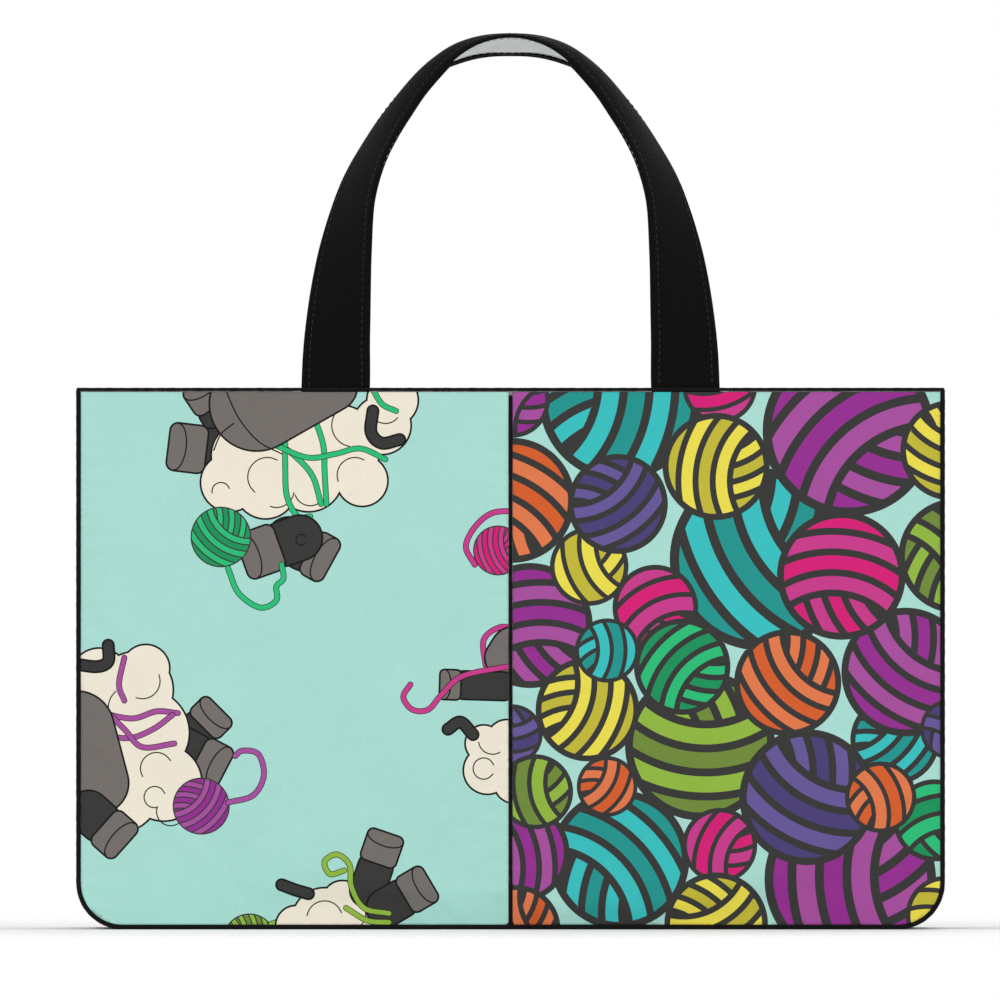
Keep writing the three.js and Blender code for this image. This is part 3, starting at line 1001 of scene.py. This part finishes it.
def make_walls(reverse):
    """The four print halves, with plain canvas behind."""
    printed = print_material()
    halves = {"left": (sheep_print(), -1, "mint_print"), "right": (yarn_print(), 1, "yarn_print")}
    for half, (shapes, side, slot) in halves.items():
        for wall in ("back", "front"):
            piece = print_panel(f"{wall}_print_{half}", shapes, side, printed, reverse)
            if wall == "front":
                turned(piece)
            finish_piece(piece, "bag", slot, f"{wall}_panel_{half}")


# ---------------------------------------------------------------- piping, gusset and foam


def u_path(inset, top, step):
    """The U that the gusset follows, this far in from the outside, as x and z."""
    radius = CORNER - inset
    middle = HALF_WIDTH - CORNER
    angle = np.linspace(0, math.pi / 2, 12)
    right = np.column_stack([middle + radius * np.sin(angle), CORNER - radius * np.cos(angle)])
    left = right[::-1] * (-1, 1)
    ends = ([[-HALF_WIDTH + inset, top]], [[HALF_WIDTH - inset, top]])
    return resample(np.vstack([ends[0], left, right, ends[1]]), step)


def make_piping(canvas):
    seam_radius = (seam_high.x - seam_low.x) / 2
    step = 2 * MM
    for wall in ("back", "front"):
        path = u_path(EDGE_RADIUS, mouth_low.z + 0.4 * MM, step)
        points = np.column_stack([path[:, 0], np.full(len(path), (edge_low.y + edge_high.y) / 2), path[:, 1]])
        edge = tube(f"{wall}_edge_cord", points, EDGE_RADIUS, canvas)
        z = np.arange(seam_low.z, seam_high.z, step)
        x = np.zeros(len(z))
        out = (seam_low.y + seam_high.y) / 2 - bulge(x, z)
        seam = tube(f"{wall}_seam_cord", np.column_stack([x, out, z]), seam_radius, canvas)
        if wall == "front":
            turned(edge)
            turned(seam)
        finish_piece(edge, "bag", "black_canvas", f"{wall}_edge_piping")
        finish_piece(seam, "bag", "black_canvas", f"{wall}_seam_piping")

    radius = (mouth_high.z - mouth_low.z) / 2
    corner = 4 * MM
    centre_x, centre_y = HALF_WIDTH - radius - corner, HALF_DEPTH - radius - corner
    quarters = []
    for k, (sx, sy) in enumerate(((1, 1), (-1, 1), (-1, -1), (1, -1))):
        angle = np.linspace(k, k + 1, 7) * math.pi / 2
        quarters.append(
            np.column_stack([sx * centre_x + corner * np.cos(angle), sy * centre_y + corner * np.sin(angle)])
        )
    loop = resample(np.vstack(quarters), step, closed=True)
    points = np.column_stack([loop, np.full(len(loop), mouth_high.z - radius)])
    mouth = tube("mouth_cord", fold_in(points), radius, canvas, closed=True)
    finish_piece(mouth, "bag", "black_canvas", "mouth_piping")


def strip_points(inset, top, half_depth, step, across):
    """A strip along the U, as rows of points from one side of the bag's depth to the other."""
    path = u_path(inset, top, step)
    run = run_along(path)
    ys = np.linspace(-half_depth, half_depth, across)
    points = np.array([[x, y, z] for x, z in path for y in ys])
    flat = np.array([[y, r] for r in run for y in ys])
    return points, flat, len(path)


def make_gusset(canvas, thread):
    half = HALF_DEPTH - 2 * EDGE_RADIUS + 0.2 * MM
    across = 49
    points, flat, rows = strip_points(0.0, SEWN_TOP, half, 2.5 * MM, across)
    soft = fold_in(points)
    side = np.abs(points[:, 0]) > HALF_WIDTH - CORNER
    height = ease((points[:, 2] - CORNER) / (60 * MM))
    creases = 0.5 * MM * np.sin(points[:, 2] * 190 + 2 * np.sin(points[:, 1] * 80)) * height
    edges = np.clip((half - np.abs(points[:, 1])) / (10 * MM), 0, 1)
    draw = PUCKER * np.sin(2 * math.pi * points[:, 2] / PUCKER_PITCH) * np.exp(-edges * 3) * height
    inward = np.sign(points[:, 0]) * side * np.clip(creases * edges + draw, 0, None)
    soft[:, 0] -= inward
    faces = grid_faces(rows, across)
    strip = thicken(make_mesh("gusset_strip", soft, faces, canvas, flat), GUSSET_CLOTH)
    finish_piece(strip, "bag", "black_canvas", "gusset_left", "gusset_bottom", "gusset_right")

    rows_made = []
    ys = np.arange(-half + 2 * MM, half - 2 * MM, 1 * MM)
    for sign in (-1, 1):
        for drop in (5 * MM, 9 * MM):
            path = np.column_stack(
                [np.full(len(ys), sign * (HALF_WIDTH + 0.05 * MM)), ys, np.full(len(ys), SEWN_TOP - drop)]
            )
            rows_made.append((fold_in(path), np.tile([sign, 0.0, 0.0], (len(ys), 1))))
    finish_piece(stitching("gusset_stitching", rows_made, thread), "bag", "black_canvas")


def foam_block(name, low, high, foam, share):
    """A foam sheet between two corners, following the bulge of its wall by a share."""
    low, high = np.array(low), np.array(high)
    size = high - low
    thin = int(np.argmin(size))
    wide = [axis for axis in range(3) if axis != thin]
    counts = [max(2, int(size[axis] / (6 * MM))) for axis in wide]
    us, vs = (np.linspace(low[a], high[a], n) for a, n in zip(wide, counts))
    points = np.zeros((counts[0] * counts[1], 3))
    points[:, wide[0]] = np.repeat(us, counts[1])
    points[:, wide[1]] = np.tile(vs, counts[0])
    points[:, thin] = (low[thin] + high[thin]) / 2
    if thin == 1:
        wall = np.sign(low[1] + high[1])
        points[:, 1] += wall * share * bulge(-wall * points[:, 0], points[:, 2])
    points = fold_in(points)
    faces = grid_faces(counts[0], counts[1])
    return thicken(make_mesh(name, points, faces, foam), size[thin], 0.0)


def make_foam(foam):
    for wall in ("back", "front"):
        low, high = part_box(f"{wall}_interlining")
        piece = foam_block(f"{wall}_foam", low, high, foam, 0.9)
        finish_piece(piece, "bag", "foam", f"{wall}_interlining")
    for side in ("left", "right"):
        low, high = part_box(f"interlining_{side}")
        piece = foam_block(f"foam_{side}", low, high, foam, 0.0)
        finish_piece(piece, "bag", "foam", f"interlining_{side}")


# ---------------------------------------------------------------- lining and pocket


def mouth_share(z):
    """0 below the top of the lining, rising to 1 where it meets the mouth."""
    return ease((z - (SEWN_TOP - MOUTH_TURN)) / MOUTH_TURN)


def lining_offset(x, z):
    """How far the lining sags in from its flat place on a long wall."""
    slack = 0.7 * MM * (np.sin(x * 37 + 3 * np.sin(z * 21)) + np.sin(x * 83 - z * 44 + 1.0))
    hold = ease(edge_distance(x, z) / (45 * MM))
    return 0.35 * bulge(x, z) + np.clip(slack, -0.3 * MM, None) * hold


def lining_ring(half_x, half_y, z, count_x, count_y, corner):
    """One level of the lining: a rounded rectangle, anticlockwise from the +X side's middle."""
    corner = min(corner, half_y * 0.9)
    flat_x, flat_y = half_x - corner, half_y - corner
    angle = np.linspace(0, math.pi / 2, 6)[1:-1]
    right = [(half_x, y) for y in np.linspace(-flat_y, flat_y, count_y)]
    turn = [(flat_x + corner * math.cos(a), flat_y + corner * math.sin(a)) for a in angle]
    back = [(x, half_y) for x in np.linspace(flat_x, -flat_x, count_x)]
    turn_left = [(-flat_x - corner * math.sin(a), flat_y + corner * math.cos(a)) for a in angle]
    half_ring = right + turn + back + turn_left
    ring = half_ring + [(-x, -y) for x, y in half_ring]
    return np.array([(x, y, z) for x, y in ring])


def lining_levels():
    """Half sizes and height of each ring, from the mouth down the walls, round the base and in over it."""
    radius = CORNER - LINING_BASE
    levels = [(LINING_SIDE, LINING_FACE, z) for z in np.linspace(SEWN_TOP + 0.8 * MM, CORNER, 110)]
    for a in np.linspace(0, math.pi / 2, 10)[1:]:
        half_x = LINING_SIDE - radius + radius * math.cos(a)
        levels.append((half_x, LINING_FACE - 0.6 * MM * a, CORNER - radius * math.sin(a)))
    half_x, half_y, z = levels[-1]
    for share in (0.985, 0.95, 0.85, 0.7, 0.5, 0.3, 0.12):
        levels.append((half_x - (1 - share) * half_y, share * half_y, z))
    return levels


def make_lining(cotton, thread):
    count_x, count_y = 150, 36
    rings, flats = [], []
    for i, (half_x, half_y, z) in enumerate(lining_levels()):
        ring = lining_ring(half_x, half_y, z, count_x, count_y, 5 * MM)
        x, y = ring[:, 0].copy(), ring[:, 1].copy()
        long_wall = ease((LINING_SIDE - np.abs(x)) / (20 * MM)) * (np.abs(y) > half_y - 1 * MM)
        if z >= CORNER:
            ring[:, 1] -= np.sign(y) * long_wall * lining_offset(x, np.full(len(x), z))
        close = mouth_share(z)
        beside_webbing = ease((np.abs(np.abs(x) - HANDLE_X) - WEBBING_WIDTH / 2) / (7 * MM))
        on_wall = np.abs(y) > half_y - 1 * MM
        ring[:, 1] += np.sign(y) * close * 3.3 * MM * np.where(on_wall, beside_webbing, np.abs(y) / half_y)
        ring[:, 0] += np.sign(x) * close * 3.4 * MM * ease((np.abs(x) - (LINING_SIDE - 8 * MM)) / (8 * MM))
        rings.append(fold_in(ring))
        lengths = np.linalg.norm(np.diff(ring, axis=0, append=ring[:1]), axis=1)
        down = z - BASE_RING_STEP * max(0, i - LAST_RING_BY_HEIGHT)
        flats.append(np.column_stack([np.cumsum(lengths), np.full(len(ring), down)]))
    count = len(rings[0])
    points = np.vstack(rings)
    faces = grid_faces(len(rings), count, closed=True)
    faces.append(tuple((len(rings) - 1) * count + k for k in range(count)))
    lining = make_mesh("lining_bag", points, faces, cotton, np.vstack(flats))
    thicken(lining, LINING_CLOTH)
    nodes = ["back_lining", "front_lining", "lining_left", "lining_right", "lining_bottom"]
    finish_piece(lining, "bag", "grey_lining", *nodes)

    rows = []
    inner = LINING_FACE - 0.1 * MM
    for wall in (-1, 1):
        for sign in (-1, 1):
            rows += handle_box_rows(sign * HANDLE_X, wall * inner, wall)
    finish_piece(stitching("lining_stitching", rows, thread), "bag", "grey_lining")


def handle_box_rows(middle, y, wall):
    """The sewn box and cross that hold a handle's end, as they show on the lining."""
    half = WEBBING_WIDTH / 2 - 4 * MM
    low, high = end_low.z + 5 * MM, end_high.z - 10 * MM
    box = [(-half, low), (half, low), (half, high), (-half, high), (-half, low)]
    cross = [[(-half, low), (half, high)], [(half, low), (-half, high)]]
    rows = []
    for corners in [box, *cross]:
        for a, b in zip(corners, corners[1:]):
            path = resample([a, b], 1 * MM)
            x, z = middle + path[:, 0], path[:, 1]
            inward = lining_offset(x, z)
            points = np.column_stack([x, y - wall * inward * (1 - mouth_share(z)), z])
            rows.append((points, np.tile([0.0, -wall, 0.0], (len(points), 1))))
    return rows


def pocket_face(u, v):
    """How far the pocket stands off the lining, for u along it and v up it, both from 0 to 1."""
    cell = (u * 3) % 1.0
    belly = np.sin(math.pi * cell) ** 0.8
    gape = 0.25 + 0.75 * ease(v * 1.2)
    floor = ease(v / 0.12)
    return 6.6 * MM * belly * gape * floor


def pocket_point(u, v, lift=0.0):
    x = pocket_low.x + u * (pocket_high.x - pocket_low.x)
    sag = 2.5 * MM * np.sin(math.pi * ((u * 3) % 1.0)) ** 2 * v
    z = pocket_low.z + v * (pocket_high.z - pocket_low.z) - sag
    y = LINING_FACE - lining_offset(x, z) - 0.9 * MM - pocket_face(u, v) - lift
    return np.column_stack([x, y, z])


def make_pocket(cotton, thread):
    columns, rows = 181, 71
    u, v = np.meshgrid(np.linspace(0, 1, columns), np.linspace(0, 1, rows))
    u, v = u.ravel(), v.ravel()
    points = pocket_point(u, v)
    flat = np.column_stack([u * 0.33, v * 0.14])
    cloth = make_mesh("pocket_cloth", points, grid_faces(rows, columns), cotton, flat)
    thicken(cloth, POCKET_CLOTH)
    finish_piece(cloth, "bag", "grey_lining", "inner_pocket")

    stitched = []
    vs = np.linspace(0.02, 0.93, 140)
    for share, shifts in ((0, [0.006]), (1 / 3, [-0.004, 0.004]), (2 / 3, [-0.004, 0.004]), (1, [-0.006])):
        for shift in shifts:
            path = pocket_point(np.full(len(vs), share + shift), vs, 0.45 * MM)
            stitched.append((path, np.tile([0.0, -1.0, 0.0], (len(vs), 1))))
    us = np.linspace(0.01, 0.99, 300)
    for level in (0.015, 0.94):
        path = pocket_point(us, np.full(len(us), level), 1.0 * MM if level > 0.5 else 0.45 * MM)
        stitched.append((path, np.tile([0.0, -1.0, 0.0], (len(us), 1))))
    finish_piece(stitching("pocket_stitching", stitched, thread), "bag", "grey_lining")


def make_pocket_edge(canvas):
    """The bound top edge: a strip folded over the pocket's top."""
    us = np.linspace(0, 1, 220)
    fold = [(0.925, 0.75), (0.93, 0.95), (0.96, 1.0), (0.99, 0.95), (1.008, 0.6), (1.014, 0.0)]
    fold += [(1.008, -0.9), (0.99, -1.3), (0.96, -1.35), (0.93, -1.3)]
    points, flat = [], []
    for k, (v, lift) in enumerate(fold):
        ring = pocket_point(us, np.full(len(us), min(v, 1.0)), 0.0)
        ring[:, 2] += max(0.0, v - 1.0) * (pocket_high.z - pocket_low.z)
        ring[:, 1] -= lift * MM
        points.append(ring)
        flat.append(np.column_stack([us * 0.3, np.full(len(us), 2.2 * MM * k)]))
    faces = grid_faces(len(fold), len(us))
    edge = make_mesh("pocket_bound_edge", np.vstack(points), faces, canvas, np.vstack(flat))
    thicken(edge, BINDING_CLOTH, 1.0)
    finish_piece(edge, "bag", "black_canvas", "pocket_binding")


# ---------------------------------------------------------------- handles

# Half of the loop from foot to crown: distance from the centre, height above the foot, in millimetres.
LOOP = [
    (98, 0),
    (97, 30),
    (92.3, 78),
    (85, 112),
    (71, 141),
    (52, 166),
    (34, 180.5),
    (17, 188.6),
    (0, 191.2),
]
# Share of the way from foot to crown, turn in degrees, half the curl's angle in degrees. Near the crown
# the webbing turns up to 5 degrees more than its CAD solid does.
TURN = [
    (0, 0, 0),
    (0.1, 15, 0),
    (0.21, 27, 0),
    (0.33, 41, 3),
    (0.45, 56, 8),
    (0.57, 67, 14),
    (0.7, 72, 28),
    (0.8, 82, 46),
    (0.87, 95, 53),
    (0.94, 103, 40),
    (1, 106.5, 26),
]
HANDLE_LEAN = 8 * MM
FOOT = 0.3 * MM + mouth_high.z  # where the free loop begins


def loop_points():
    """The loop's middle line over the back wall, foot to foot, as points a millimetre apart."""
    loop = np.array(LOOP) * MM
    crown = loop[-1, 1]
    lean = HANDLE_LEAN * (loop[:, 1] / crown) ** 2
    half = np.column_stack([-loop[:, 0], -HANDLE_PLANE + lean, FOOT + loop[:, 1]])
    whole = np.vstack([half, half[-2::-1] * (-1, 1, 1)])
    padded = np.vstack([2 * whole[0] - whole[1], whole, 2 * whole[-1] - whole[-2]])
    out = []
    for p0, p1, p2, p3 in zip(padded, padded[1:], padded[2:], padded[3:]):
        d0, d1, d2 = (math.sqrt(np.linalg.norm(b - a)) for a, b in ((p0, p1), (p1, p2), (p2, p3)))
        m1 = d1 * ((p1 - p0) / d0 - (p2 - p0) / (d0 + d1) + (p2 - p1) / d1)
        m2 = d1 * ((p2 - p1) / d1 - (p3 - p1) / (d1 + d2) + (p3 - p2) / d2)
        for t in np.arange(40) / 40:
            hermite = (2 * t**3 - 3 * t**2 + 1, t**3 - 2 * t**2 + t, 3 * t**2 - 2 * t**3, t**3 - t**2)
            out.append(hermite[0] * p1 + hermite[1] * m1 + hermite[2] * p2 + hermite[3] * m2)
    out.append(whole[-1])
    return resample(out, 1.5 * MM)


def handle_frames(tail):
    """Middle point, across and face directions, curl and run of each station, with straight tails below."""
    loop = loop_points()
    share = 1 - np.abs(np.linspace(-1, 1, len(loop)))
    table = np.array(TURN, float)
    turn = np.radians(np.interp(share, table[:, 0], table[:, 1]))
    curl = np.radians(np.interp(share, table[:, 0], table[:, 2]))
    smooth = np.ones(9) / 9
    turn = np.convolve(np.pad(turn, 4, mode="edge"), smooth, "valid")
    curl = np.convolve(np.pad(curl, 4, mode="edge"), smooth, "valid")
    along = np.gradient(loop, axis=0)
    along[0], along[-1] = (0, 0, 1), (0, 0, -1)
    if tail:
        drops = np.arange(0.5 * MM, tail, 0.8 * MM)
        start = loop[0] - np.outer(drops[::-1], (0, 0, 1))
        finish = loop[-1] - np.outer(drops, (0, 0, 1))
        loop = np.vstack([start, loop, finish])
        zeros = np.zeros(len(drops))
        turn = np.concatenate([zeros + turn[0], turn, zeros + turn[-1]])
        curl = np.concatenate([zeros, curl, zeros])
        up = np.tile((0.0, 0.0, 1.0), (len(drops), 1))
        along = np.vstack([up, along, -up])
    along = unit(along)
    outward = unit(np.cross(along, (0.0, 1.0, 0.0)))
    through = np.cross(outward, along)
    cos, sin = np.cos(turn)[:, None], np.sin(turn)[:, None]
    run = run_along(loop)
    return loop, outward * cos + through * sin, outward * sin - through * cos, np.maximum(curl, 1e-3), run


def band_point(frames, across, level):
    """Points at a place across the band, -1 to 1 of the webbing's width, at a level above its middle."""
    loop, sideways, face, curl = frames[:4]
    radius = WEBBING_WIDTH / 2 / curl
    angle = across * curl
    reach = radius + level
    lift = (reach * np.cos(angle) - radius * np.cos(curl))[:, None]
    return loop + face * lift + sideways * (reach * np.sin(angle))[:, None]


def band(name, frames, width, thickness, depth, material, columns=28):
    """A woven band with rounded, slightly thicker edges."""
    share = width / WEBBING_WIDTH
    profile = []
    for side, order in ((1, 1), (-1, -1)):
        for s in order * np.linspace(1, -1, columns):
            edge = max(0.0, (abs(s) - 0.95) / 0.05)
            swell = 1 + 0.18 * math.exp(-(((abs(s) - 0.93) / 0.05) ** 2))
            profile.append((s, side * thickness / 2 * swell * math.sqrt(max(0.06, 1 - edge**2))))
    rings = [band_point(frames, s * share, level - depth) for s, level in profile]
    count = len(profile)
    stations = len(frames[0])
    points = np.stack(rings, 1).reshape(-1, 3)
    run = frames[4]
    flat = np.stack([np.column_stack([run, np.full(stations, s * width / 2)]) for s, level in profile], 1)
    faces = [face[::-1] for face in grid_faces(stations, count, closed=True)]
    faces.append(tuple(range(count)))
    faces.append(tuple((stations - 1) * count + k for k in range(count))[::-1])
    return make_mesh(name, points, faces, material, flat.reshape(-1, 2))


def band_stitches(frames, across, level, sign):
    path = band_point(frames, across, level)
    radial = band_point(frames, across, level + sign * MM) - path
    return path, unit(radial)


def make_handles(webbing, tape, black_thread, grey_thread):
    backing = 0.9 * MM
    backing_gap = 0.25 * MM
    backing_width = WEBBING_WIDTH - 7.5 * MM
    tail = FOOT - end_low.z
    full, free = handle_frames(tail), handle_frames(0)
    depth = WEBBING / 2 + backing_gap + backing / 2
    row = 1 - 2 * 4.2 * MM / WEBBING_WIDTH
    for wall, sign in (("back", -1), ("front", 1)):
        strap = band(f"{wall}_handle_strap", full, WEBBING_WIDTH, WEBBING, 0, webbing)
        lined = band(f"{wall}_handle_tape", free, backing_width, backing, depth, tape)
        outer = [band_stitches(free, s * row, WEBBING / 2, 1) for s in (-1, 1)]
        inner = [band_stitches(free, s * row, -depth - backing / 2, -1) for s in (-1, 1)]
        outside = stitching(f"{wall}_handle_stitching", outer, black_thread)
        inside = stitching(f"{wall}_tape_stitching", inner, grey_thread)
        made = [strap, lined, outside, inside]
        if wall == "front":
            made = [turned(piece) for piece in made]
        for piece, slot in zip(made, ("black_webbing", "grey_tape", "black_webbing", "grey_tape")):
            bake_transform(piece)
        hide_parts(f"{wall}_handle_webbing", f"{wall}_handle_end_left", f"{wall}_handle_end_right")
        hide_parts(f"{wall}_handle_backing")


# ---------------------------------------------------------------- making it all

make_camera()
make_stage()
canvas = cloth_material("black_canvas", "121213", 0.9 * MM, gloss=0.12, spread=0.3)
cotton = cloth_material("grey_cotton", "d6d8d9", 0.7 * MM, spread=0.04, depth=0.08)
canvas_reverse = cloth_material("canvas_reverse", "3a3b3c", 0.9 * MM, spread=0.1)
tape = webbing_material("grey_twill_tape", "e8eaeb", 1.3 * MM, 0.06)
webbing = webbing_material("black_webbing", "060607", 2.0 * MM, 0.14, 0.09)
foam = solid_material("felted_foam", "e9e7e0", 900.0, 0.95, 0.88, 1.05)
board = solid_material("bag_board", "8a7f70", 260.0, 0.75, 0.8, 1.15)
black_thread = thread_material("black_thread", "1a1a1b")
grey_thread = thread_material("grey_thread", "b9bbbc")

make_walls(canvas_reverse)
make_piping(canvas)
make_gusset(canvas, black_thread)
make_foam(foam)
make_lining(cotton, grey_thread)
make_pocket_edge(canvas)
make_pocket(cotton, grey_thread)
make_handles(webbing, tape, black_thread, grey_thread)

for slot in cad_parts["base_board"].material_slots:
    slot.material = board
